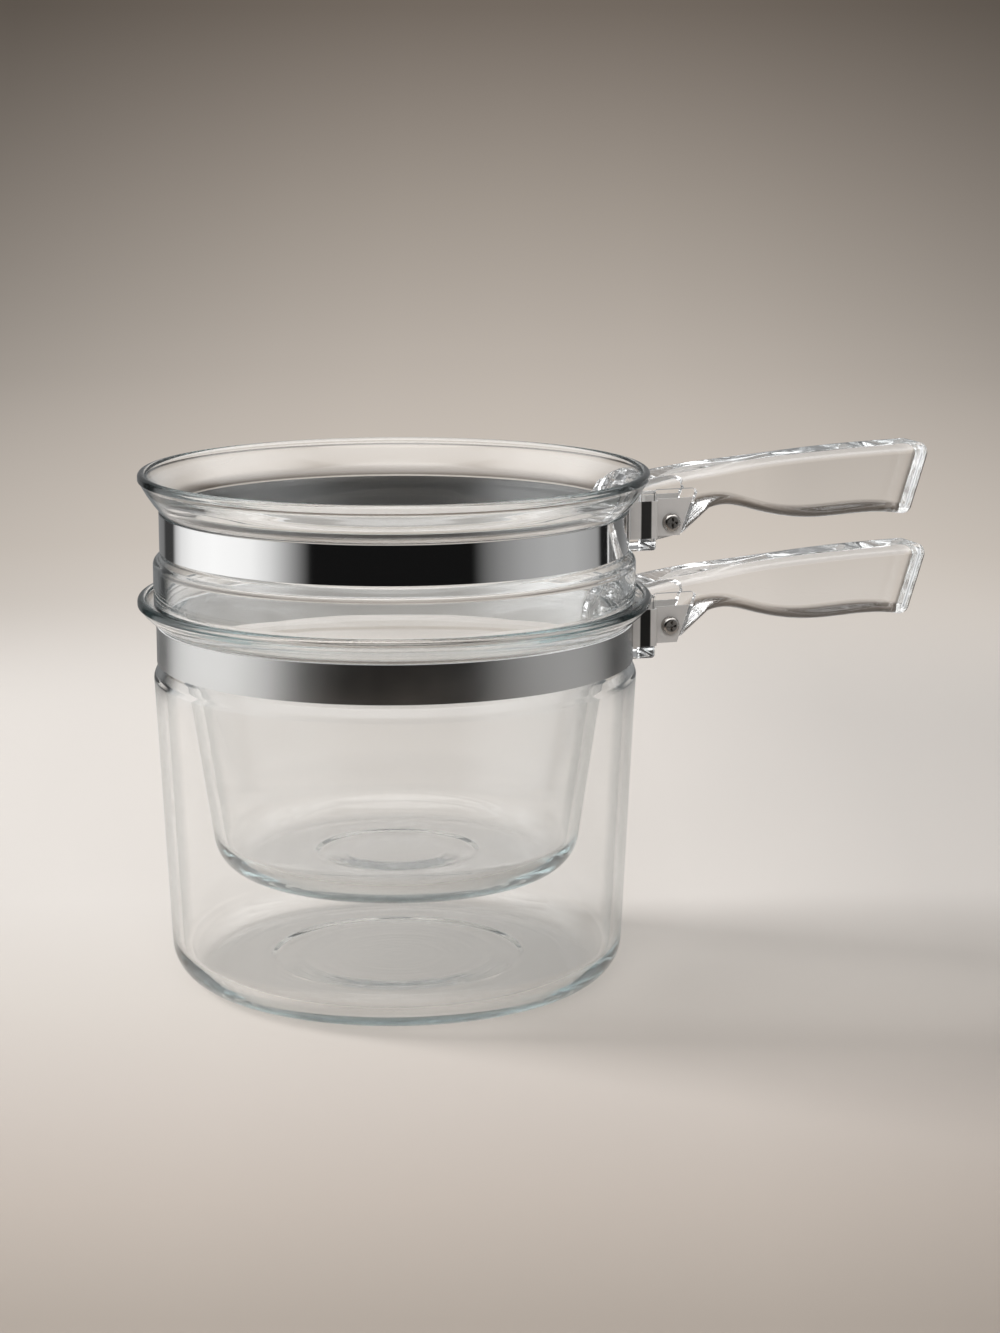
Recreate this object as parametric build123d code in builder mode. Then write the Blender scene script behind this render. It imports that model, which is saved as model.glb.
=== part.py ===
from build123d import *
import os
from dataclasses import dataclass
from math import atan2, cos, degrees, radians, sin, sqrt

# Double boiler: a clear glass saucepan, and a glass insert that hangs in its mouth. Each bowl has a
# steel strap round its neck. The strap's ends step into the side pockets of a glass handle, where
# one cross-head screw and nut draw them together. Millimetres, +Z up, the origin in the middle of
# the saucepan's underside, both handles along +X.

# Glass of both bowls. Radii are of the outside unless a comment says otherwise.
wall = 3.5
floor_thickness = 5.0
bead_width = 2.6            # the rolled edge of the lip, across
bead_depth = 3.0            # and from its top down to the belly below it
lip_rounding = 1.0          # between the belly and the rolled edge
neck_rounding = 0.5         # and between the belly and the neck
belly_shares = (0.57, 0.50)   # how far out and up the lip's belly is fullest
plateau_margin = 30.0       # from the wall's foot inside to the raised middle of the floor
plateau_slope = 8.6         # width of the slope up to it
plateau_rise = 0.8
plateau_rounding = 5.0

# Saucepan, the lower bowl
saucepan_height = 126.2
saucepan_neck_radius = 76.5
saucepan_lip_reach = 6.5    # how far the lip stands out from the neck
saucepan_lip_height = 8.4
saucepan_flare = 50         # degrees from upright, of the seat inside the lip
saucepan_flare_rounding = 6.0
saucepan_shoulder_reach = 1.7
saucepan_shoulder_fall = 4.0
saucepan_draft = 2.7        # degrees
saucepan_heel = 12.5        # rounding at the foot of the wall, outside
saucepan_shoulder_rounding = 4.0
saucepan_handle_lift = 1.4  # its handle and screw sit this much higher in the strap

# Insert, the upper bowl
insert_rise = 40.2          # from the saucepan's rim up to the insert's rim
insert_depth = 130.6        # outside, from its rim down to its underside
insert_lip_reach = 7.2
insert_lip_height = 12.6
insert_flare = 40
insert_flare_rounding = 12.0
insert_bulge_gap = 2.6      # between its bulge and the saucepan's rolled edge
insert_shoulder_reach = 2.8
insert_shoulder_fall = 3.0
insert_neck_gap = 2.6       # between its wall and the inside of the saucepan's neck
insert_draft = 8.4
insert_heel = 13.0
insert_bulge_rounding = 2.6
insert_waist_rounding = 6.0  # where the seat turns down into the wall
seat_clearance = 0.3

# Straps
strap_thickness = 0.6
strap_height = 12.3
strap_gap = 0.3             # above the strap to the lip, and twice that below to the shoulder
strap_fit = 0.05            # between the strap and what it lies on
leave_radius = 3.0          # bend where the strap leaves the neck
step_radius = 1.35          # bends where it steps into the pocket

# Handles. Lengths along X are from the flange's outer face.
handle_gap = 9.5            # from the saucepan's neck out to that face
handle_length = 102.4
handle_height = 26.9        # from the foot of its side view up to the top of the end
flange_width = 25.0
flange_drop = 4.2           # its foot, below the strap
flange_rounding = 1.0
root_width = 21.0
grip_width = 16.4
end_width = 17.6
grip_rounding = 3.2
foot_fit = 0.2              # between the handle and the bowl
pocket_width = 16.0         # glass left between the two pocket floors
pocket_top = 15.6
pocket_reach = 15.6         # along the pocket's top
pocket_slant = 5.5          # its end leans back by this over its height
pocket_rounding = 1.4
chin_drop = 1.8             # underside of the pocket where it meets the flange
chin_rounding = 3.0
end_lean = 7.8              # how far the handle's end leans out over its height
end_bottom = 2.2
end_rounding = 3.4

# Outline points of the handle seen from the side, as shares of its length and height
top_shares = ((-0.16, 0.615), (0.13, 0.785), (0.57, 0.942))
underside_shares = ((0.197, 0.305), (0.256, 0.335), (0.374, 0.235), (0.561, 0.114), (0.758, 0.14))
chin_shares = (0.105, 0.015)
# Outline points seen from above: shares of the length
waist_shares = (0.14, 0.32, 0.58)

# Ears of the strap, the screw and the nut
ear_margin = 0.4            # from the ear's end to the end of the pocket
screw_reach = 6.5           # of the screw's middle from the flange's face
screw_rise = 4.4
screw_diameter = 3.5
screw_play = 0.25           # all round, in the ears and in the glass
head_diameter = 6.2
head_height = 1.9
head_rounding = 1.2
recess_length = 3.4
recess_width = 0.8
recess_depth = 1.0
nut_width = 6.0             # across its flats
nut_height = 2.5
nut_chamfer = 0.4
screw_end = 1.2             # of the screw beyond its nut
screw_chamfer = 0.4

overrun = 5.0               # of every cut past the glass


# Places that the straps, handles and screws share
flange_face = saucepan_neck_radius + handle_gap
handle_end = flange_face + handle_length
screw_place = flange_face + screw_reach
screw_radius = screw_diameter / 2
strap_offset = strap_fit + strap_thickness / 2   # from what the strap lies on to its middle
ear_side = pocket_width / 2 + strap_fit + strap_thickness


# Profile lines: a point and a direction, in the half plane of radius and height.
def line_at(radius, height, lean):
    """Line through a point, leaning outward from upright by some degrees as it climbs."""
    return Vector(radius, height), Vector(sin(radians(lean)), cos(radians(lean)))


def level_at(height):
    """Level line, outward from the axis."""
    return Vector(0, height), Vector(1, 0)


def inset(line, gap):
    """The same line moved to its left, which is inward or up."""
    point, way = line
    return point + Vector(-way.Y, way.X) * gap, way


def meet(first, second):
    """Point where two lines cross."""
    point, way = first
    other, bearing = second
    across = other - point
    run = (across.X * bearing.Y - across.Y * bearing.X) / (way.X * bearing.Y - way.Y * bearing.X)
    return point + way * run


def corners(lines):
    """Points where each line meets the next."""
    return [meet(first, second) for first, second in zip(lines, lines[1:])]


@dataclass
class Vessel:
    """One bowl, and the places on it that its strap and handle need."""

    name: str
    rim: float
    neck_radius: float
    lip_radius: float
    lip_height: float
    strap_bottom: float
    handle_base: float      # where the handle's heights start
    outside: list           # lines from the underside up to the neck
    outside_rounding: list
    inside: list            # lines from the floor up to the flare inside the lip
    inside_rounding: list


def inside_lines(outside, flare):
    """The floor and walls at their thicknesses, then the flare inside the lip."""
    base, *walls = outside
    return [inset(base, floor_thickness)] + [inset(line, wall) for line in walls] + [flare]


def plan_saucepan():
    """The lower bowl."""
    rim = saucepan_height
    lip_radius = saucepan_neck_radius + saucepan_lip_reach
    strap_bottom = rim - saucepan_lip_height - strap_gap - strap_height
    shoulder_top = strap_bottom - strap_gap - strap_gap
    shoulder_lean = degrees(atan2(-saucepan_shoulder_reach, saucepan_shoulder_fall))
    body_radius = saucepan_neck_radius + saucepan_shoulder_reach
    outside = [
        level_at(0),
        line_at(body_radius, shoulder_top - saucepan_shoulder_fall, saucepan_draft),
        line_at(saucepan_neck_radius, shoulder_top, shoulder_lean),
        line_at(saucepan_neck_radius, shoulder_top, 0),
    ]
    flare = line_at(lip_radius - bead_width, rim - bead_width / 2, saucepan_flare)
    shoulder = saucepan_shoulder_rounding
    return Vessel(
        name="saucepan",
        rim=rim,
        neck_radius=saucepan_neck_radius,
        lip_radius=lip_radius,
        lip_height=saucepan_lip_height,
        strap_bottom=strap_bottom,
        handle_base=strap_bottom + saucepan_handle_lift,
        outside=outside,
        outside_rounding=[saucepan_heel, shoulder, shoulder],
        inside=inside_lines(outside, flare),
        inside_rounding=[saucepan_heel - wall, shoulder, shoulder, saucepan_flare_rounding],
    )


def plan_insert(saucepan):
    """The upper bowl, which takes its seat and its room from the lower one."""
    rim = saucepan.rim + insert_rise
    bulge_radius = saucepan.lip_radius - bead_width - insert_bulge_gap
    neck_radius = bulge_radius - insert_shoulder_reach
    lip_radius = neck_radius + insert_lip_reach
    strap_bottom = rim - insert_lip_height - strap_gap - strap_height
    shoulder_top = strap_bottom - strap_gap - strap_gap
    shoulder_lean = degrees(atan2(-insert_shoulder_reach, insert_shoulder_fall))
    neck_of_pan, flare_of_pan = saucepan.inside[-2:]
    throat = meet(neck_of_pan, flare_of_pan)
    outside = [
        level_at(rim - insert_depth),
        line_at(throat.X - insert_neck_gap, throat.Y, insert_draft),
        inset(flare_of_pan, seat_clearance),
        line_at(bulge_radius, shoulder_top, 0),
        line_at(neck_radius, shoulder_top, shoulder_lean),
        line_at(neck_radius, shoulder_top, 0),
    ]
    flare = line_at(lip_radius - bead_width, rim - bead_width / 2, insert_flare)
    waist = insert_waist_rounding
    bulge = insert_bulge_rounding
    return Vessel(
        name="insert",
        rim=rim,
        neck_radius=neck_radius,
        lip_radius=lip_radius,
        lip_height=insert_lip_height,
        strap_bottom=strap_bottom,
        handle_base=strap_bottom,
        outside=outside,
        outside_rounding=[insert_heel, waist, bulge, bulge, bulge],
        inside=inside_lines(outside, flare),
        inside_rounding=[insert_heel - wall, waist, bulge, bulge, bulge, insert_flare_rounding],
    )


def draw_outside(vessel):
    """Outer profile from the axis to the top of the rolled edge, inside a BuildLine."""
    neck_top = Vector(vessel.neck_radius, vessel.rim - vessel.lip_height)
    edge_bottom = Vector(vessel.lip_radius, vessel.rim - bead_depth)
    edge_top = Vector(vessel.lip_radius, vessel.rim - bead_width / 2)
    reach = edge_bottom - neck_top
    belly = neck_top + Vector(reach.X * belly_shares[0], reach.Y * belly_shares[1])
    underside = vessel.outside[0][0]
    FilletPolyline(underside, *corners(vessel.outside), neck_top, radius=vessel.outside_rounding)
    ThreePointArc(neck_top, belly, edge_bottom)
    Line(edge_bottom, edge_top)
    JernArc(edge_top, (0, 1), bead_width / 2, 90)


def round_lip(section, vessel):
    """Eases the corners where the belly of the lip meets the neck and the rolled edge."""
    neck_top = Vector(vessel.neck_radius, vessel.rim - vessel.lip_height)
    fillet(section.vertices().sort_by_distance(neck_top)[0], neck_rounding)
    edge_bottom = Vector(vessel.lip_radius, vessel.rim - bead_depth)
    fillet(section.vertices().sort_by_distance(edge_bottom)[0], lip_rounding)


def make_bowl(vessel):
    """Glass bowl, one revolved section."""
    floor = vessel.inside[0][0]
    middle = floor + Vector(0, plateau_rise)
    slope_foot = corners(vessel.inside)[0].X - plateau_margin
    plateau = [
        floor + Vector(slope_foot, 0),
        middle + Vector(slope_foot - plateau_slope, 0),
        middle,
    ]
    with BuildPart() as bowl:
        with BuildSketch(Plane.XZ) as section:
            with BuildLine():
                draw_outside(vessel)
                crown = Vector(vessel.lip_radius - bead_width / 2, vessel.rim)
                JernArc(crown, (-1, 0), bead_width / 2, 90)
                FilletPolyline(
                    vessel.inside[-1][0],
                    *reversed(corners(vessel.inside)),
                    *plateau,
                    radius=[*reversed(vessel.inside_rounding), plateau_rounding, plateau_rounding],
                )
                Line(middle, vessel.outside[0][0])
            make_face()
            round_lip(section, vessel)
        revolve(axis=Axis.Z)
    bowl.part.label = vessel.name + "_bowl"
    return bowl.part


def pocket_end(vessel, height):
    """How far out along X the pockets reach at a height, because their end leans."""
    below_top = vessel.handle_base + pocket_top - height
    return flange_face + pocket_reach - below_top * pocket_slant / pocket_top


def make_strap(vessel):
    """Steel strap: round the neck, out along the flange, then a step into each pocket."""
    low = vessel.strap_bottom
    high = low + strap_height
    ring_radius = vessel.neck_radius + strap_offset
    side = flange_width / 2 + strap_offset
    inner_side = pocket_width / 2 + strap_offset
    step = flange_face + strap_offset
    ear_end = pocket_end(vessel, high) - ear_margin
    ear_end_low = pocket_end(vessel, low) - ear_margin
    bend_side = side + leave_radius
    bend_reach = sqrt((ring_radius + leave_radius) ** 2 - bend_side**2)
    leave_angle = degrees(atan2(bend_side, bend_reach))
    with BuildPart() as strap:
        with BuildLine(Plane.XY.offset(low + strap_height / 2)) as route:
            FilletPolyline(
                (ear_end, inner_side),
                (step, inner_side),
                (step, side),
                (bend_reach, side),
                radius=step_radius,
            )
            CenterArc((bend_reach, bend_side), leave_radius, 180 + leave_angle, 90 - leave_angle)
            mirror(about=Plane.XZ)
            CenterArc((0, 0), ring_radius, leave_angle, 360 - leave_angle - leave_angle)
        end = Plane(origin=route.wire() @ 0, x_dir=Vector(0, 1, 0), z_dir=route.wire() % 0)
        with BuildSketch(end):
            Rectangle(strap_thickness, strap_height)
        sweep(path=route.wire())
        with BuildSketch(Plane.XZ):
            with BuildLine():
                Polyline(
                    (ear_end, high),
                    (ear_end_low, low),
                    (ear_end_low, low - overrun),
                    (ear_end + overrun, low - overrun),
                    (ear_end + overrun, high),
                    close=True,
                )
            make_face()
        extrude(amount=flange_width, both=True, mode=Mode.SUBTRACT)
        drill(vessel)
    strap.part.label = vessel.name + "_band"
    return strap.part


def drill(vessel):
    """Screw hole across the handle, through whatever part is being built."""
    with BuildSketch(Plane.XZ) as hole:
        with Locations((screw_place, vessel.handle_base + screw_rise)):
            Circle(screw_radius + screw_play)
    extrude(hole.sketch, amount=flange_width, both=True, mode=Mode.SUBTRACT)


def handle_point(vessel, shares):
    """Point of the handle's side view from shares of its length and height."""
    along, up = shares
    return Vector(flange_face + along * handle_length, vessel.handle_base + up * handle_height)


def make_grip(vessel):
    """Root and grip: the side view cut to the plan, with all long edges rounded."""
    bottom = vessel.handle_base
    top = [handle_point(vessel, shares) for shares in top_shares]
    under = [handle_point(vessel, shares) for shares in underside_shares]
    inner = top[0].X
    end_top = Vector(handle_end, bottom + handle_height)
    end_low = Vector(handle_end - end_lean, bottom + end_bottom)
    chin = handle_point(vessel, chin_shares)
    waist = [flange_face + share * handle_length for share in waist_shares]
    with BuildPart() as grip:
        with BuildSketch(Plane.XZ) as side_view:
            with BuildLine():
                Spline(*top, end_top)
                Line(end_top, end_low)
                Spline(end_low, *reversed(under))
                Polyline(
                    under[0],
                    chin,
                    (flange_face, bottom - chin_drop),
                    (inner, bottom - chin_drop),
                    top[0],
                )
            make_face()
            for point, radius in ((end_top, end_rounding), (end_low, end_rounding), (chin, chin_rounding)):
                fillet(side_view.vertices().sort_by_distance(point)[0], radius)
        extrude(amount=flange_width, both=True)
        with BuildSketch(Plane.XY.offset(bottom - chin_drop - overrun)):
            with BuildLine():
                Line((inner - overrun, root_width / 2), (waist[0], root_width / 2))
                Spline(
                    (waist[0], root_width / 2),
                    (waist[1], grip_width / 2),
                    (waist[2], grip_width / 2),
                    (handle_end + overrun, end_width / 2),
                    tangents=[(1, 0), (1, 0)],
                )
                mirror(about=Plane.XZ)
                Line((inner - overrun, root_width / 2), (inner - overrun, -root_width / 2))
                Line((handle_end + overrun, end_width / 2), (handle_end + overrun, -end_width / 2))
            make_face()
        extrude(amount=handle_height + overrun + overrun, mode=Mode.INTERSECT)
        sides = grip.edges().filter_by(lambda edge: abs(edge.center().Y) > grip_width / 3)
        fillet(sides, grip_rounding)
    return grip.part


def keepout(vessel):
    """Round space that the handle's foot leaves to the bowl: its neck and lip with a little room."""
    low = level_at(vessel.strap_bottom - flange_drop - overrun)
    room = [low] + [inset(line, -foot_fit) for line in vessel.outside[-3:]]
    neck_top = Vector(vessel.neck_radius + foot_fit, vessel.rim - vessel.lip_height - foot_fit)
    edge_bottom = Vector(vessel.lip_radius + foot_fit, vessel.rim - bead_depth)
    reach = edge_bottom - neck_top
    belly = neck_top + Vector(reach.X * belly_shares[0], reach.Y * belly_shares[1])
    with BuildPart() as space:
        with BuildSketch(Plane.XZ):
            with BuildLine():
                FilletPolyline(*corners(room), neck_top, radius=vessel.outside_rounding[-2:])
                ThreePointArc(neck_top, belly, edge_bottom)
                Polyline(
                    edge_bottom,
                    (edge_bottom.X, vessel.rim + overrun),
                    (0, vessel.rim + overrun),
                    low[0],
                    corners(room)[0],
                )
            make_face()
        revolve(axis=Axis.Z)
    return space.part


def make_flange(vessel):
    """Block at the foot of the handle that the strap's ends run along."""
    inner = vessel.neck_radius - overrun
    bottom = vessel.strap_bottom - flange_drop
    with BuildPart() as flange:
        with BuildSketch(Plane.XY.offset(bottom)):
            with Locations((inner, 0)):
                Rectangle(flange_face - inner, flange_width, align=(Align.MIN, Align.CENTER))
        extrude(amount=vessel.handle_base + pocket_top - bottom)
        outer = flange.faces().sort_by(Axis.X)[-1]
        fillet(outer.edges() + flange.edges().filter_by(Axis.X), flange_rounding)
    return flange.part


def make_handle(vessel):
    """Glass handle: a flange against the neck, a pocketed root and a long grip."""
    grip = make_grip(vessel)
    flange = make_flange(vessel)
    bowl_room = keepout(vessel)
    high = vessel.handle_base + pocket_top
    low = vessel.strap_bottom - flange_drop - overrun
    with BuildPart() as handle:
        add(grip)
        add(flange)
        for side in (1, -1):
            with BuildSketch(Plane.XZ.offset(-side * pocket_width / 2)) as pocket:
                with BuildLine():
                    FilletPolyline(
                        (flange_face, low),
                        (flange_face, high),
                        (pocket_end(vessel, high), high),
                        (pocket_end(vessel, low), low),
                        radius=pocket_rounding,
                    )
                    Line((flange_face, low), (pocket_end(vessel, low), low))
                make_face()
            extrude(amount=-side * flange_width, mode=Mode.SUBTRACT)
        drill(vessel)
        add(bowl_room, mode=Mode.SUBTRACT)
    handle.part.label = vessel.name + "_handle"
    return handle.part


def make_screw(vessel):
    """Cross-head screw from the pocket facing -Y through to the nut."""
    height = vessel.handle_base + screw_rise
    seat = Plane(origin=(screw_place, -ear_side, height), x_dir=(1, 0, 0), z_dir=(0, -1, 0))
    with BuildPart() as screw:
        with BuildSketch(seat):
            Circle(head_diameter / 2)
        extrude(amount=head_height)
        fillet(screw.edges().sort_by(Axis.Y)[0], head_rounding)
        with BuildSketch(seat.offset(head_height - recess_depth)):
            Rectangle(recess_length, recess_width)
            Rectangle(recess_width, recess_length)
        extrude(amount=recess_depth, mode=Mode.SUBTRACT)
        with BuildSketch(seat):
            Circle(screw_radius)
        extrude(amount=-(ear_side + ear_side + nut_height + screw_end))
        chamfer(screw.edges().sort_by(Axis.Y)[-1], screw_chamfer)
    screw.part.label = vessel.name + "_screw"
    return screw.part


def make_nut(vessel):
    """Hexagon nut on the far ear, its outer corners turned down."""
    height = vessel.handle_base + screw_rise
    seat = Plane(origin=(screw_place, ear_side, height), x_dir=(1, 0, 0), z_dir=(0, 1, 0))
    with BuildPart() as turned:
        with BuildSketch(seat):
            Circle(nut_width / sqrt(3))
        extrude(amount=nut_height)
        chamfer(turned.edges().sort_by(Axis.Y)[-1], nut_chamfer)
    with BuildPart() as nut:
        with BuildSketch(seat):
            RegularPolygon(nut_width / 2, side_count=6, major_radius=False)
            Circle(screw_radius, mode=Mode.SUBTRACT)
        extrude(amount=nut_height)
        add(turned.part, mode=Mode.INTERSECT)
    nut.part.label = vessel.name + "_nut"
    return nut.part


def main():
    """Writes every piece of both vessels."""
    os.makedirs("parts", exist_ok=True)
    saucepan = plan_saucepan()
    insert = plan_insert(saucepan)
    for vessel in (saucepan, insert):
        for make in (make_bowl, make_strap, make_handle, make_screw, make_nut):
            piece = make(vessel)
            export_step(piece, f"parts/{piece.label}.step")


if __name__ == "__main__":
    main()
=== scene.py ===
from math import atan2, ceil, cos, degrees, pi, radians, sin, tan

import bpy
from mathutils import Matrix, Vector


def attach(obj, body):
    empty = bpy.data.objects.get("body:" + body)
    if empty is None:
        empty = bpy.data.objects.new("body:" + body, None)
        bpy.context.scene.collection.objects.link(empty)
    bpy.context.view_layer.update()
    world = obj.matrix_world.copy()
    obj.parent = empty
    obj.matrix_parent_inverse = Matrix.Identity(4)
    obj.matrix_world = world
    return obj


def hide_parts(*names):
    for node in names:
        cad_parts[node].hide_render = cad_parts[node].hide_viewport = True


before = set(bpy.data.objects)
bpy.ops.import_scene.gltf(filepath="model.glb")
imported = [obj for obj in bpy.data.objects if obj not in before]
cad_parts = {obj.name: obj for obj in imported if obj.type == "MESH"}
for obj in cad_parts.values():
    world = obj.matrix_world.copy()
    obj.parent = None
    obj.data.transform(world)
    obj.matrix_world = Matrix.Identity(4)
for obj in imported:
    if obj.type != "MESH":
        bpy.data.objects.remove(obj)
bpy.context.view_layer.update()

# A clear glass double boiler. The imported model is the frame: origin in the middle of the
# saucepan's underside, +Z up, both handles along +X. Lengths are metres, leans are degrees.

# Walls, floors and rolled edges, the same for both bowls
wall = 0.0035
floor_thickness = 0.005
bead_width = 0.0026
bead_depth = 0.003
bead_groove = 0.0006
groove_rounding = bead_groove / 3
neck_rounding = 0.0005
belly_shares = (0.57, 0.50)         # of the way from neck to edge, out and up

# The raised centre of each floor, and the ring round it
plateau_margin = 0.030
plateau_slope = 0.0086
plateau_rise = 0.0002
plateau_rounding = 0.003
ring_width = 0.0018
ring_depth = 0.0004

saucepan_height = 0.1262
saucepan_neck_radius = 0.0765
saucepan_lip_reach = 0.0065
saucepan_lip_height = 0.0084
saucepan_flare = 50
saucepan_flare_rounding = 0.006
saucepan_shoulder_reach = 0.0017
saucepan_shoulder_fall = 0.004
saucepan_draft = 2.7
saucepan_heel = 0.0125
saucepan_shoulder_rounding = 0.004

insert_rise = 0.0402
insert_depth = 0.1306
insert_lip_reach = 0.0072
insert_lip_height = 0.0126
insert_flare = 40
insert_flare_rounding = 0.012
insert_bulge_gap = 0.0026
insert_shoulder_reach = 0.0028
insert_shoulder_fall = 0.003
insert_neck_gap = 0.0026
insert_draft = 8.4
insert_heel = 0.013
insert_bulge_rounding = 0.0026
insert_waist_rounding = 0.006
seat_clearance = 0.0003

strap_height = 0.0123
strap_gap = 0.0003
strap_thickness = 0.0006

# How finely the bowls are turned
turns = 288                 # steps round the axis
arc_step = radians(5)       # along the rounded stretches of a profile
run_step = 0.004            # along the straight ones
ease_steps = 6              # along an eased corner
doubled = 1e-6              # points closer than this are one point
on_axis = 1e-7              # and closer to the axis than this, a pole

# Painted shade on the glass's colour, darker the further it turns away from the eye, that draws
# dark outlines at its edges:
# where it stands upright, and where it lies flatter, by the share of its normal that points up or
# down
upright_edge_shade = [
    (0.68, 1.0),
    (0.77, (0.60, 0.625, 0.63)),
    (0.87, (0.37, 0.405, 0.415)),
    (1.0, (0.08, 0.11, 0.12)),
]
flat_edge_shade = [
    (0.80, 1.0),
    (0.90, (0.57, 0.63, 0.655)),
    (1.0, (0.09, 0.13, 0.15)),
]
flat_from, flat_to = 0.25, 0.5

# Light that passes one face of the glass into its shadow, and for scattered rays
shadow_light = [(0.0, 0.965), (0.35, 0.96), (0.8, 0.79), (1.0, 0.5)]
scattered_light = (0.99, 0.99, 0.99, 1)

# Relief of the glass and of the steel: noise scales, and heights in metres
ripple_scale = 38
turned_ring_scale = 420
glass_relief = 0.001
brush_scale = (14, 14, 1400)
cloud_scale = 60
steel_relief = 0.00002
cloud_shares = (0.8, 1.3)   # of the roughness

# Finish of the straps at the clamp, by their place along X: how matt, and how light, with a
# near-black stripe that is painted shade of the seam there
clamp_from, clamp_to = 0.074, 0.094
clamp_finish_and_seam_shade = [
    (0.10, 0.0),
    (0.15, 0.85),
    (0.30, 0.85),
    (0.32, 1.0),
    (0.485, 1.0),
    (0.505, 0.85),
    (1.0, 0.85),
]
clamp_tones_and_seam_shade = [(0.30, 0.80), (0.32, 0.012), (0.485, 0.012), (0.505, 0.80)]
clamp_roughness = 0.6

# The camera, as the photograph was taken
camera_place = (-0.27946, -0.91591, 0.2960)
camera_pitch = 11.49
camera_turn = 19.0
camera_lens = 81.0
camera_sensor = 36.0
camera_range = (0.01, 50)

# The studio: a round floor that curves up into a wall
floor_radius = 1.9
sweep_radius = 0.9
wall_top = 2.6
stage_turns = 128
floor_gap = 0.0003          # of air, so that the glass still reflects at its underside
world_level = 0.31

# Painted light on the floor, from the camera's side to behind the object: a pool that darkens
# towards the camera, and painted shade falling off sideways
floor_depth = 0.5
floor_painted_light_tones = [
    (0.0, (0.44, 0.385, 0.335)),
    (0.215, (0.49, 0.435, 0.385)),
    (0.292, (0.61, 0.545, 0.49)),
    (0.369, (0.70, 0.64, 0.59)),
    (0.463, (0.79, 0.74, 0.69)),
    (0.579, (0.86, 0.82, 0.78)),
    (1.0, (0.87, 0.83, 0.79)),
]
floor_side = 0.3
floor_painted_side_shade = [(0.0, 0.86), (0.25, 0.92), (0.42, 1.0), (0.67, 1.0), (0.82, 0.88), (1.0, 0.84)]

# Glow of the backdrop as it climbs, and its fall-off to both sides
backdrop_from, backdrop_to = 0.40, 0.75     # from the axis, where it takes over from the floor
climb_run = 3.0             # metres of floor that count as one of height
climb_full = 1.6
backdrop_tones = [
    (0.10, (0.75, 0.70, 0.65)),
    (0.19, (0.635, 0.575, 0.515)),
    (0.29, (0.567, 0.51, 0.455)),
    (0.43, (0.485, 0.433, 0.384)),
    (0.585, (0.345, 0.302, 0.262)),
    (0.765, (0.172, 0.144, 0.12)),
    (1.0, (0.10, 0.082, 0.066)),
]
vignette_centre = 0.05
vignette_tones = [(0.0, 1.0), (0.13, 0.98), (0.24, 0.92), (0.4, 0.79), (0.57, 0.64), (1.0, 0.75)]

# What mirrors see in place of the floor and the backdrop: by degrees to the right of the
# camera's side, a grey level of the soft boxes and the dark gaps between them
studio_from, studio_to = 0.38, 0.56         # from the axis, where it takes over
studio_tint = (0.985, 0.995, 1.0)
studio_tones = [
    (-180, 0.30), (-156, 0.22), (-148, 0.20), (-144, 0.05), (-132, 0.05), (-128, 0.60),
    (-122, 0.90), (-110, 1.12), (-94, 1.20), (-78, 1.15), (-70, 1.10), (-60, 0.84),
    (-50, 0.43), (-43, 0.15), (-39, 0.008), (36, 0.008), (43, 0.17), (50, 0.28),
    (62, 0.41), (76, 0.49), (92, 0.50), (103, 0.43), (112, 0.35), (115, 0.014),
    (125, 0.014), (130, 0.15), (140, 0.18), (150, 0.28), (180, 0.30),
]

# And what they see overhead: by the share of the direction that points away from the
# camera, and by the share that points sideways
ceiling_from = 1.0          # metres up the wall
ceiling_reach = 0.6
ceiling_tones = [(0.0, 3.4), (0.167, 3.4), (0.25, 0.6), (0.333, 0.08), (0.5, 0.03)]
ceiling_side_tones = [(0.42, 0.0), (0.62, 2.6)]

# Lamps: place, the point they face, side of the square, power
lamps = {
    "key": ((-1.46, 0.83, 1.14), (0, 0, 0.05), 0.75, 37),
    "top": ((0.1, 0.3, 1.5), (0, 0, 0), 1.2, 1),
    "fill": ((-0.7, -2.0, 1.3), (0, 0, 0.1), 1.4, 18),
}

# Bounces of light: each glass wall takes two, and each mirror one
bounces = 48
transparent_bounces = 32


# Profiles: points of radius and height.
def line_at(radius, height, lean):
    """Line through a point, leaning outward from upright by some degrees as it climbs."""
    return Vector((radius, height)), Vector((sin(radians(lean)), cos(radians(lean))))


def level_at(height):
    """Level line, outward from the axis."""
    return Vector((0, height)), Vector((1, 0))


def square_to(way):
    """Direction a quarter turn to the left."""
    return Vector((-way.y, way.x))


def inset(line, gap):
    """The same line moved to its left, which is inward or up."""
    point, way = line
    return point + square_to(way) * gap, way


def meet(first, second):
    """Point where two lines cross."""
    point, way = first
    other, bearing = second
    across = other - point
    run = across.dot(square_to(bearing)) / way.dot(square_to(bearing))
    return point + way * run


def corners(lines):
    """Points where each line meets the next."""
    return [meet(first, second) for first, second in zip(lines, lines[1:])]


def arc(centre, start, sweep):
    """Points round a centre from a start, by a signed angle."""
    reach = start - centre
    first = atan2(reach.y, reach.x)
    steps = max(2, ceil(abs(sweep) / arc_step))
    angles = [first + sweep * step / steps for step in range(steps + 1)]
    return [centre + Vector((cos(angle), sin(angle))) * reach.length for angle in angles]


def arc_through(first, middle, last):
    """Points of the arc through three."""
    one, two = middle - first, last - middle
    centre = meet(
        (first + one / 2, square_to(one)),
        (middle + two / 2, square_to(two)),
    )
    out, back = first - centre, last - centre
    return arc(centre, first, atan2(square_to(out).dot(back), out.dot(back)))


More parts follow.
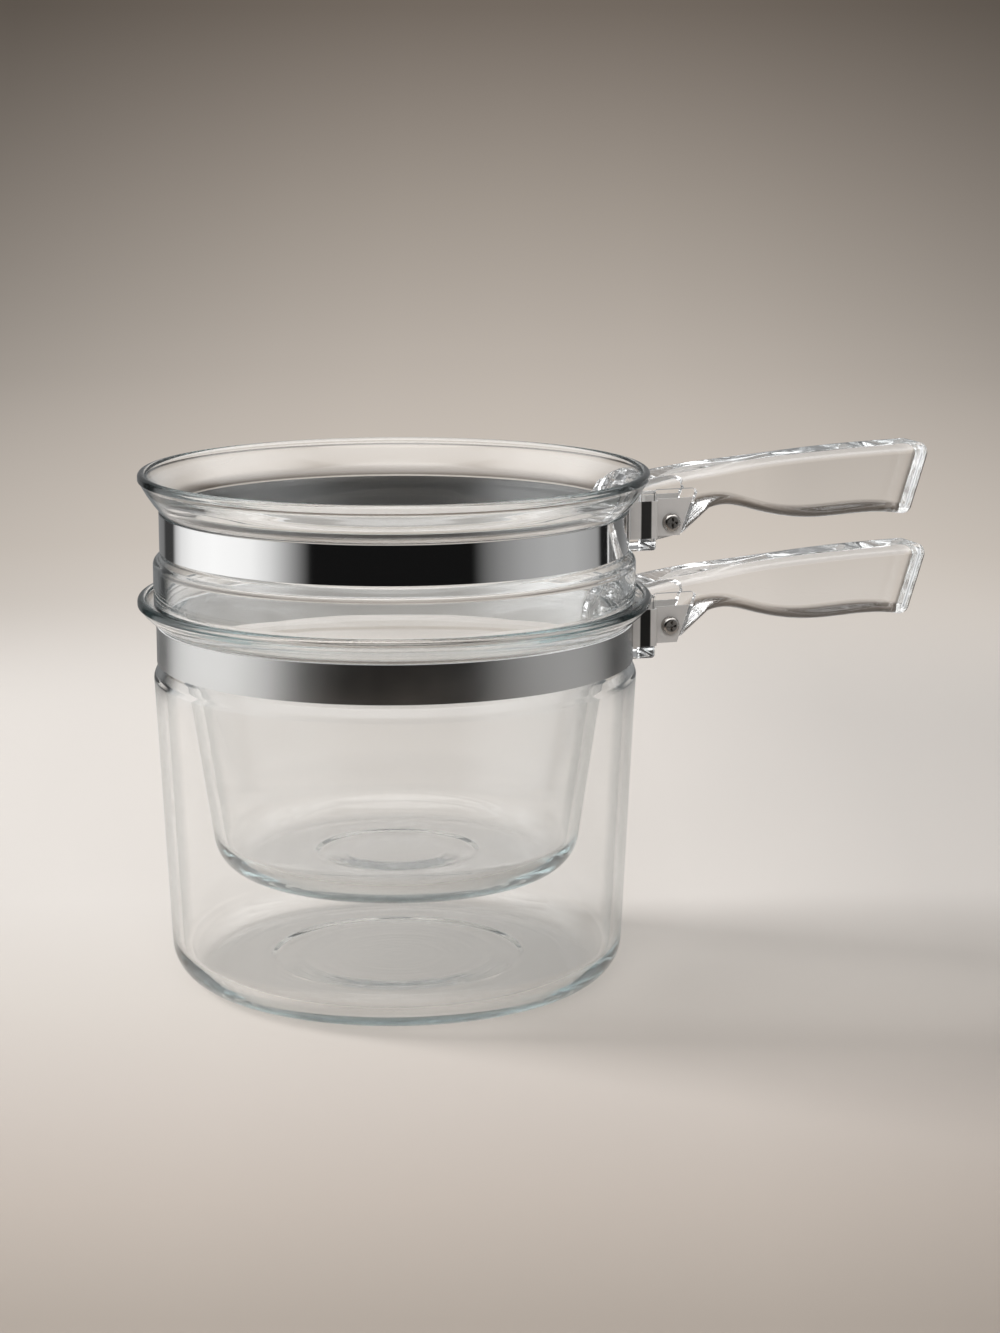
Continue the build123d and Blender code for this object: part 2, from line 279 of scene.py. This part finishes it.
def rounded(points, radii):
    """Polyline with its inner corners turned into arcs."""
    path = [points[0]]
    for before, corner, after, radius in zip(points, points[1:], points[2:], radii):
        back, ahead = (before - corner).normalized(), (after - corner).normalized()
        half = back.angle(ahead) / 2
        centre = corner + (back + ahead).normalized() * (radius / sin(half))
        start = corner + back * (radius / tan(half))
        turn = pi - half - half
        path += arc(centre, start, -turn if square_to(back).dot(ahead) > 0 else turn)
    path.append(points[-1])
    return path


def eased(path, corner, reach):
    """Path with one sharp corner turned into a short curve."""
    spot = path.index(corner)
    before, after = path[:spot], path[spot + 1:]
    while (before[-1] - corner).length < reach:
        before.pop()
    while (after[0] - corner).length < reach:
        after.pop(0)
    start = corner + (before[-1] - corner).normalized() * reach
    finish = corner + (after[0] - corner).normalized() * reach
    shares = [step / ease_steps for step in range(ease_steps + 1)]
    curve = [start.lerp(corner, t).lerp(corner.lerp(finish, t), t) for t in shares]
    return before + curve + after


def divided(path):
    """Path with its long straight stretches cut up and doubled points left out."""
    fine = [path[0]]
    for point in path[1:]:
        last = fine[-1]
        length = (point - last).length
        if length < doubled:
            continue
        pieces = max(1, ceil(length / run_step))
        fine += [last.lerp(point, piece / pieces) for piece in range(1, pieces + 1)]
    return fine


def inside_lines(outside, flare):
    """The floor and walls at their thicknesses, then the flare inside the lip."""
    base, *walls = outside
    return [inset(base, floor_thickness)] + [inset(line, wall) for line in walls] + [flare]


def bowl_profile(
    rim, neck_radius, lip_radius, lip_height,
    outside, outside_rounding, inside, inside_rounding,
):
    """Closed section of one bowl, from the axis under its floor round to the axis inside."""
    neck_top = Vector((neck_radius, rim - lip_height))
    edge_bottom = Vector((lip_radius - bead_groove, rim - bead_depth))
    edge_step = Vector((lip_radius, rim - bead_depth + bead_groove))
    edge_top = Vector((lip_radius, rim - bead_width / 2))
    reach = edge_bottom - neck_top
    belly = neck_top + Vector((reach.x * belly_shares[0], reach.y * belly_shares[1]))
    bead = Vector((lip_radius - bead_width / 2, rim - bead_width / 2))
    path = rounded([outside[0][0], *corners(outside), neck_top], outside_rounding)
    path += arc_through(neck_top, belly, edge_bottom)[1:]
    path = eased(path, neck_top, neck_rounding)
    path.append(edge_step)
    path = eased(path, edge_bottom, groove_rounding)
    path.append(edge_top)
    path = eased(path, edge_step, groove_rounding)
    path += arc(bead, edge_top, pi)
    floor = inside[0][0]
    middle = floor + Vector((0, plateau_rise))
    slope_foot = corners(inside)[0].x - plateau_margin
    path += rounded(
        [
            path[-1],
            *reversed(corners(inside)),
            floor + Vector((slope_foot + ring_width, 0)),
            floor + Vector((slope_foot, -ring_depth)),
            middle + Vector((slope_foot - plateau_slope, 0)),
            middle,
        ],
        [*reversed(inside_rounding), plateau_rounding, plateau_rounding, plateau_rounding],
    )
    return divided(path)


def strap_foot(rim, lip_height):
    """Height of the shoulder that leaves the strap its room under the lip."""
    return rim - lip_height - strap_gap - strap_height - strap_gap - strap_gap


def saucepan_plan():
    """Lines, rim and radii of the lower bowl."""
    rim = saucepan_height
    lip_radius = saucepan_neck_radius + saucepan_lip_reach
    shoulder_top = strap_foot(rim, saucepan_lip_height)
    lean = degrees(atan2(-saucepan_shoulder_reach, saucepan_shoulder_fall))
    body_radius = saucepan_neck_radius + saucepan_shoulder_reach
    outside = [
        level_at(0),
        line_at(body_radius, shoulder_top - saucepan_shoulder_fall, saucepan_draft),
        line_at(saucepan_neck_radius, shoulder_top, lean),
        line_at(saucepan_neck_radius, shoulder_top, 0),
    ]
    flare = line_at(lip_radius - bead_width, rim - bead_width / 2, saucepan_flare)
    shoulder = saucepan_shoulder_rounding
    return {
        "rim": rim,
        "neck_radius": saucepan_neck_radius,
        "lip_radius": lip_radius,
        "lip_height": saucepan_lip_height,
        "outside": outside,
        "outside_rounding": [saucepan_heel, shoulder, shoulder],
        "inside": inside_lines(outside, flare),
        "inside_rounding": [saucepan_heel - wall, shoulder, shoulder, saucepan_flare_rounding],
    }


def insert_plan(saucepan):
    """The same for the upper bowl, which takes its seat and its room from the lower one."""
    rim = saucepan["rim"] + insert_rise
    bulge_radius = saucepan["lip_radius"] - bead_width - insert_bulge_gap
    neck_radius = bulge_radius - insert_shoulder_reach
    lip_radius = neck_radius + insert_lip_reach
    shoulder_top = strap_foot(rim, insert_lip_height)
    lean = degrees(atan2(-insert_shoulder_reach, insert_shoulder_fall))
    neck_of_pan, flare_of_pan = saucepan["inside"][-2:]
    throat = meet(neck_of_pan, flare_of_pan)
    outside = [
        level_at(rim - insert_depth),
        line_at(throat.x - insert_neck_gap, throat.y, insert_draft),
        inset(flare_of_pan, seat_clearance),
        line_at(bulge_radius, shoulder_top, 0),
        line_at(neck_radius, shoulder_top, lean),
        line_at(neck_radius, shoulder_top, 0),
    ]
    flare = line_at(lip_radius - bead_width, rim - bead_width / 2, insert_flare)
    waist = insert_waist_rounding
    bulge = insert_bulge_rounding
    return {
        "rim": rim,
        "neck_radius": neck_radius,
        "lip_radius": lip_radius,
        "lip_height": insert_lip_height,
        "outside": outside,
        "outside_rounding": [insert_heel, waist, bulge, bulge, bulge],
        "inside": inside_lines(outside, flare),
        "inside_rounding": [
            insert_heel - wall, waist, bulge, bulge, bulge, insert_flare_rounding,
        ],
    }


def turned(name, path, steps):
    """Mesh object of a path turned round the Z axis; a point on the axis becomes a pole."""
    verts, rings, faces = [], [], []
    for point in path:
        if point.x < on_axis:
            rings.append([len(verts)] * steps)
            verts.append((0, 0, point.y))
            continue
        rings.append(range(len(verts), len(verts) + steps))
        for step in range(steps):
            angle = 2 * pi * step / steps
            verts.append((point.x * cos(angle), point.x * sin(angle), point.y))
    for low, high in zip(rings, rings[1:]):
        for step in range(steps):
            ahead = (step + 1) % steps
            loop = (low[step], low[ahead], high[ahead], high[step])
            faces.append(tuple(dict.fromkeys(loop)))
    mesh = bpy.data.meshes.new(name)
    mesh.from_pydata(verts, [], faces)
    mesh.shade_smooth()
    piece = bpy.data.objects.new(name, mesh)
    bpy.context.scene.collection.objects.link(piece)
    return piece


# Materials
class Nodes:
    """A node tree being wired: a call adds a node, and sockets given as values are linked."""

    def __init__(self, owner):
        owner.use_nodes = True
        self.tree = owner.node_tree
        self.tree.nodes.clear()

    def __call__(self, kind, inputs=(), **settings):
        node = self.tree.nodes.new("ShaderNode" + kind)
        for key, value in settings.items():
            setattr(node, key, value)
        for key, value in dict(inputs).items():
            socket = node.inputs[key]
            if isinstance(value, bpy.types.NodeSocket):
                self.tree.links.new(value, socket)
            else:
                socket.default_value = value
        return node

    def math(self, operation, *values):
        return self("Math", dict(enumerate(values)), operation=operation).outputs[0]

    def dot(self, place, way):
        inputs = {0: place, 1: way}
        return self("VectorMath", inputs, operation="DOT_PRODUCT").outputs["Value"]

    def share(self, value, start, finish, smooth=False):
        """0 at the start of a range and 1 at its end."""
        curve = "SMOOTHSTEP" if smooth else "LINEAR"
        inputs = {"Value": value, "From Min": start, "From Max": finish}
        return self("MapRange", inputs, interpolation_type=curve).outputs[0]

    def between(self, factor, first, second):
        """Number between two others."""
        return self("Mix", {"Factor": factor, "A": first, "B": second}).outputs[0]

    def mixed(self, factor, first, second, blend="MIX"):
        """Colour between two others."""
        inputs = {"Factor": factor, "A": first, "B": second}
        return self("Mix", inputs, data_type="RGBA", blend_type=blend).outputs[2]

    def layered(self, factor, first, second):
        """Shader between two others."""
        inputs = {0: factor, 1: first.outputs[0], 2: second.outputs[0]}
        return self("MixShader", inputs)

    def ramp(self, value, stops):
        """Colour by a number from 0 to 1; a stop is a place with a colour or a grey level."""
        node = self("ValToRGB", {"Fac": value})
        elements = node.color_ramp.elements
        while len(elements) < len(stops):
            elements.new(0.5)
        for element, (place, colour) in zip(elements, stops):
            element.position = place
            element.color = (*colour, 1) if isinstance(colour, tuple) else grey(colour)
        return node.outputs["Color"]


def grey(level):
    return level, level, level, 1


def from_axis(nodes, place):
    """Distance from the Z axis."""
    x, y, _ = nodes("SeparateXYZ", {0: place}).outputs
    squares = nodes.math("ADD", nodes.math("POWER", x, 2.0), nodes.math("POWER", y, 2.0))
    return nodes.math("SQRT", squares)


def camera_ways():
    """Level directions: away from the camera, and to its right."""
    across, ahead = sin(radians(camera_turn)), cos(radians(camera_turn))
    return (across, ahead, 0), (ahead, -across, 0)


def glass_relief_of(nodes, ripple, rings):
    """Faint ripples left by the mould, and rings where the glass was turned."""
    place = nodes("TexCoord").outputs["Object"]
    slow = nodes("TexNoise", {
        "Vector": place,
        "Scale": ripple_scale,
        "Detail": 1.5,
        "Roughness": 0.4,
    })
    soft = nodes("Bump", {
        "Height": slow.outputs["Fac"],
        "Strength": ripple,
        "Distance": glass_relief,
    })
    turned_at = nodes("CombineXYZ", {0: from_axis(nodes, place)})
    ring = nodes("TexNoise", {
        "Vector": turned_at.outputs[0],
        "Scale": turned_ring_scale,
        "Detail": 1.0,
    })
    bump = nodes("Bump", {
        "Height": ring.outputs["Fac"],
        "Strength": rings,
        "Distance": glass_relief,
        "Normal": soft.outputs["Normal"],
    })
    return bump.outputs["Normal"]


def glass(name, ior, tint, density, ripple, rings):
    """Clear glass with painted shade that darkens it where it turns away, and a tint that only
    thick edges show.
    """
    material = bpy.data.materials.new(name)
    nodes = Nodes(material)
    relief = glass_relief_of(nodes, ripple, rings)
    facing = nodes("LayerWeight", {"Blend": 0.5}).outputs["Facing"]
    normal = nodes("NewGeometry").outputs["Normal"]
    lean = nodes.math("ABSOLUTE", nodes("SeparateXYZ", {0: normal}).outputs[2])
    flat = nodes.share(lean, flat_from, flat_to)
    # Painted shade: dark outlines where the glass turns away from the eye.
    upright_tone, flat_tone = nodes.ramp(facing, upright_edge_shade), nodes.ramp(facing, flat_edge_shade)
    surface = nodes("BsdfPrincipled", {
        "Base Color": nodes.mixed(flat, upright_tone, flat_tone),
        "Roughness": 0.0,
        "IOR": ior,
        "Transmission Weight": 1.0,
        "Normal": relief,
    })
    path = nodes("LightPath").outputs
    scattered = path["Is Diffuse Ray"]
    let_through = nodes.mixed(scattered, nodes.ramp(facing, shadow_light), scattered_light)
    clear = nodes("BsdfTransparent", {"Color": let_through})
    passed = nodes.math("MAXIMUM", path["Is Shadow Ray"], scattered)
    lit = nodes.layered(passed, surface, clear)
    volume = nodes("VolumeAbsorption", {"Color": (*tint, 1), "Density": density})
    nodes("OutputMaterial", {"Surface": lit.outputs[0], "Volume": volume.outputs[0]})
    return material


def steel(name, colour, roughness, brush, stretch, inside=None):
    """Bright metal with fine lines rolled along it; a strap's inside is painted lighter or darker
    to stand in for what it reflects there, and its clamp is matt with painted seam shade.
    """
    material = bpy.data.materials.new(name)
    nodes = Nodes(material)
    place = nodes("TexCoord").outputs["Object"]
    drawn = nodes("Mapping", {"Vector": place, "Scale": brush_scale})
    lines = nodes("TexNoise", {"Vector": drawn.outputs[0], "Scale": 1, "Detail": 3})
    cloud = nodes("TexNoise", {"Vector": place, "Scale": cloud_scale, "Detail": 2})
    rough = nodes("MapRange", {
        "Value": cloud.outputs["Fac"],
        "To Min": roughness * cloud_shares[0],
        "To Max": roughness * cloud_shares[1],
    }).outputs[0]
    bump = nodes("Bump", {
        "Height": lines.outputs["Fac"],
        "Strength": brush,
        "Distance": steel_relief,
    })
    base, metal = (*colour, 1), 1.0
    if inside:
        # Painted reflection or painted shade on the strap's inside, as each strap sets it.
        inner = nodes.math("LESS_THAN", from_axis(nodes, place), inside["radius"])
        base = nodes.mixed(inner, base, grey(inside["tone"]))
        rough = nodes.between(inner, rough, inside["roughness"])
        metal = nodes.between(inner, metal, inside["metallic"])
        x = nodes("SeparateXYZ", {0: place}).outputs[0]
        along = nodes.share(x, clamp_from, clamp_to)
        # Painted shade: a near-black stripe across the clamp stands for the shade in its seam.
        matt = nodes.ramp(along, clamp_finish_and_seam_shade)
        base = nodes.mixed(matt, base, nodes.ramp(along, clamp_tones_and_seam_shade))
        rough = nodes.between(matt, rough, clamp_roughness)
        metal = nodes.between(matt, metal, 0.0)
    surface = nodes("BsdfPrincipled", {
        "Base Color": base,
        "Metallic": metal,
        "Roughness": rough,
        "Anisotropic": stretch,
        "Tangent": nodes("Tangent", direction_type="RADIAL", axis="Z").outputs[0],
        "Normal": bump.outputs["Normal"],
    })
    nodes("OutputMaterial", {"Surface": surface.outputs[0]})
    return material


# The studio
def mirrored_share(nodes):
    """1 for a sharp ray that a mirror or a glass surface has turned back at least once."""
    path = nodes("LightPath").outputs
    sharp = nodes.math("MAXIMUM", path["Is Glossy Ray"], path["Is Transmission Ray"])
    return nodes.math("MULTIPLY", sharp, nodes.math("MINIMUM", path["Glossy Depth"], 1.0))


def seen_share(nodes):
    """1 for the camera's own rays and those that reach here by a mirror or through glass."""
    path = nodes("LightPath").outputs
    seen = nodes.math("MAXIMUM", path["Is Camera Ray"], path["Is Glossy Ray"])
    return nodes.math("MAXIMUM", seen, path["Is Transmission Ray"])


def floor_with_painted_light(nodes, behind, aside):
    """Pale floor with painted light: darker towards the camera and to both sides, where lamp light
    would fall off.
    """
    tone = nodes.ramp(nodes.share(behind, -floor_depth, floor_depth), floor_painted_light_tones)
    fall_off = nodes.ramp(nodes.share(aside, -floor_side, floor_side), floor_painted_side_shade)
    return nodes("BsdfDiffuse", {"Color": nodes.mixed(1.0, tone, fall_off, "MULTIPLY")})


def backdrop_glow(nodes, reach, height, aside):
    """Backdrop that darkens as it climbs and to both sides."""
    climb = nodes.math("ADD", nodes.math("DIVIDE", reach, climb_run), height)
    tone = nodes.ramp(nodes.math("DIVIDE", climb, climb_full), backdrop_tones)
    off_centre = nodes.math("ABSOLUTE", nodes.math("SUBTRACT", aside, vignette_centre))
    vignette = nodes.ramp(off_centre, vignette_tones)
    return nodes("Emission", {"Color": nodes.mixed(1.0, tone, vignette, "MULTIPLY")})


def studio_glow(nodes, place):
    """The soft boxes, the gaps between them and the ceiling, which only mirrors see."""
    x, y, z = nodes("SeparateXYZ", {0: place}).outputs
    turn = nodes.math("DIVIDE", nodes.math("ARCTAN2", y, x), 2 * pi)
    boxes = nodes.ramp(nodes.math("ADD", turn, 0.5), reflected_studio())
    overhead = nodes.share(z, ceiling_from, wall_top, smooth=True)
    return nodes("Emission", {
        "Color": nodes.mixed(overhead, boxes, reflected_ceiling(nodes, place)),
    })


def stage_material():
    """Floor and backdrop; mirrors see the studio in their place."""
    material = bpy.data.materials.new("stage_paint")
    nodes = Nodes(material)
    place = nodes("NewGeometry").outputs["Position"]
    ahead, right = camera_ways()
    behind, aside = nodes.dot(place, ahead), nodes.dot(place, right)
    reach = from_axis(nodes, place)
    height = nodes("SeparateXYZ", {0: place}).outputs[2]
    distant = nodes.share(reach, backdrop_from, backdrop_to, smooth=True)
    beyond = nodes.share(reach, studio_from, studio_to, smooth=True)
    plain = nodes.layered(
        nodes.math("MULTIPLY", seen_share(nodes), distant),
        floor_with_painted_light(nodes, behind, aside),
        backdrop_glow(nodes, reach, height, aside),
    )
    stage = nodes.layered(
        nodes.math("MULTIPLY", mirrored_share(nodes), beyond),
        plain,
        studio_glow(nodes, place),
    )
    nodes("OutputMaterial", {"Surface": stage.outputs[0]})
    return material


def reflected_ceiling(nodes, way):
    """What a mirror sees overhead: bright above the camera and at both sides, dark behind."""
    ahead, right = camera_ways()
    unit = nodes("VectorMath", {0: way}, operation="NORMALIZE").outputs[0]
    forward, sideways = nodes.dot(unit, ahead), nodes.dot(unit, right)
    share = nodes.share(forward, -ceiling_reach, ceiling_reach)
    along = nodes.ramp(share, ceiling_tones)
    across = nodes.ramp(nodes.math("ABSOLUTE", sideways), ceiling_side_tones)
    return nodes.mixed(1.0, along, across, "LIGHTEN")


def reflected_studio():
    """Stops of a colour ramp over the full turn, from the studio's tones."""
    camera_side = degrees(atan2(camera_place[1], camera_place[0]))
    shares = [((camera_side + angle + 180) / 360, level) for angle, level in studio_tones]
    stops = []
    for (place, level), (after, next_level) in zip(shares, shares[1:]):
        for seam in (0, 1):     # the ramp ends here; the stretch across it goes on at the other end
            if place < seam < after:
                there = level + (next_level - level) * (seam - place) / (after - place)
                stops += [(0.0, there), (1.0, there)]
        stops.append((place % 1, level))
    return [(place, tuple(level * tint for tint in studio_tint)) for place, level in sorted(stops)]


def make_stage():
    start = Vector((floor_radius, 0))
    sweep = arc(Vector((floor_radius, sweep_radius)), start, pi / 2)
    path = [Vector((0, 0)), start, *sweep[1:], Vector((floor_radius + sweep_radius, wall_top))]
    path = [point - Vector((0, floor_gap)) for point in path]
    stage = turned("stage", path, stage_turns)
    stage.data.materials.append(stage_material())


def area_lamp(name, place, target, side, power):
    """Square lamp that faces a point and isn't seen itself."""
    lamp = bpy.data.lights.new(name, "AREA")
    lamp.shape = "SQUARE"
    lamp.size = side
    lamp.energy = power
    holder = bpy.data.objects.new(name, lamp)
    holder.location = place
    holder.rotation_euler = (Vector(target) - Vector(place)).to_track_quat("-Z", "Y").to_euler()
    holder.visible_camera = False
    holder.visible_glossy = False
    holder.visible_transmission = False
    bpy.context.scene.collection.objects.link(holder)


def make_world():
    """Even soft light; mirrors see the studio's ceiling instead."""
    world = bpy.data.worlds.new("studio")
    bpy.context.scene.world = world
    nodes = Nodes(world)
    ceiling = reflected_ceiling(nodes, nodes("TexCoord").outputs["Generated"])
    tone = nodes.mixed(mirrored_share(nodes), grey(world_level), ceiling)
    sky = nodes("Background", {"Color": tone, "Strength": 1.0})
    nodes("OutputWorld", {"Surface": sky.outputs[0]})


def make_camera():
    camera = bpy.data.objects.new("camera", bpy.data.cameras.new("camera"))
    camera.data.lens = camera_lens
    camera.data.sensor_width = camera_sensor
    camera.data.clip_start, camera.data.clip_end = camera_range
    camera.location = camera_place
    camera.rotation_euler = (radians(90 - camera_pitch), 0, -radians(camera_turn))
    bpy.context.scene.collection.objects.link(camera)
    bpy.context.scene.camera = camera


def dress(node, material):
    """Gives a CAD node its finish."""
    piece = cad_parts[node]
    piece.data.materials.clear()
    piece.data.materials.append(material)


def dress_bowl(name, plan, material):
    """Puts a finely turned bowl in the place of the CAD one."""
    bowl = turned(name + "_glass", bowl_profile(**plan), turns)
    bowl.data.materials.append(material)
    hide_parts(name + "_bowl")
    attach(bowl, name)


def dress_fasteners(name):
    """Plated steel, darker than the straps, for the screw and the nut."""
    plated = steel(
        name + "_fastener_steel",
        colour=(0.40, 0.38, 0.36),
        roughness=0.22,
        brush=0.1,
        stretch=0.0,
    )
    dress(name + "_screw", plated)
    dress(name + "_nut", plated)


def dress_straps(saucepan, insert):
    """Brushed steel below and polished steel above."""
    inner = strap_gap + strap_thickness / 2
    dress("saucepan_band", steel(
        "saucepan_band_steel",
        colour=(0.635, 0.625, 0.61),
        roughness=0.20,
        brush=0.1,
        stretch=0.9,
        # Its inside is painted matt and near white, a painted reflection of the bright room that
        # its polished steel shows there.
        inside={
            "radius": saucepan["neck_radius"] + inner,
            "tone": 0.94,
            "roughness": 0.6,
            "metallic": 0.0,
        },
    ))
    dress("insert_band", steel(
        "insert_band_steel",
        colour=(0.80, 0.79, 0.78),
        roughness=0.055,
        brush=0.05,
        stretch=0.2,
        # Its inside is painted dark, painted shade that dims what its inside reflects.
        inside={
            "radius": insert["neck_radius"] + inner,
            "tone": 0.3,
            "roughness": 0.3,
            "metallic": 1.0,
        },
    ))


def main():
    make_camera()
    make_stage()
    make_world()
    for name, lamp in lamps.items():
        area_lamp(name, *lamp)

    bowl_glass = glass(
        "bowl_glass",
        ior=1.474,
        tint=(0.58, 0.66, 0.665),
        density=11.0,
        ripple=0.02,
        rings=0.03,
    )
    handle_glass = glass(
        "handle_glass",
        ior=1.50,
        tint=(0.85, 0.88, 0.88),
        density=2.0,
        ripple=0.06,
        rings=0.0,
    )
    saucepan = saucepan_plan()
    insert = insert_plan(saucepan)
    for name, plan in (("saucepan", saucepan), ("insert", insert)):
        dress_bowl(name, plan, bowl_glass)
        dress(name + "_handle", handle_glass)
        dress_fasteners(name)
    dress_straps(saucepan, insert)


main()

scene = bpy.context.scene
scene.view_settings.view_transform = "Standard"
scene.cycles.max_bounces = bounces
scene.cycles.transmission_bounces = bounces
scene.cycles.glossy_bounces = bounces
scene.cycles.transparent_max_bounces = transparent_bounces
scene.cycles.caustics_refractive = False
scene.cycles.caustics_reflective = False
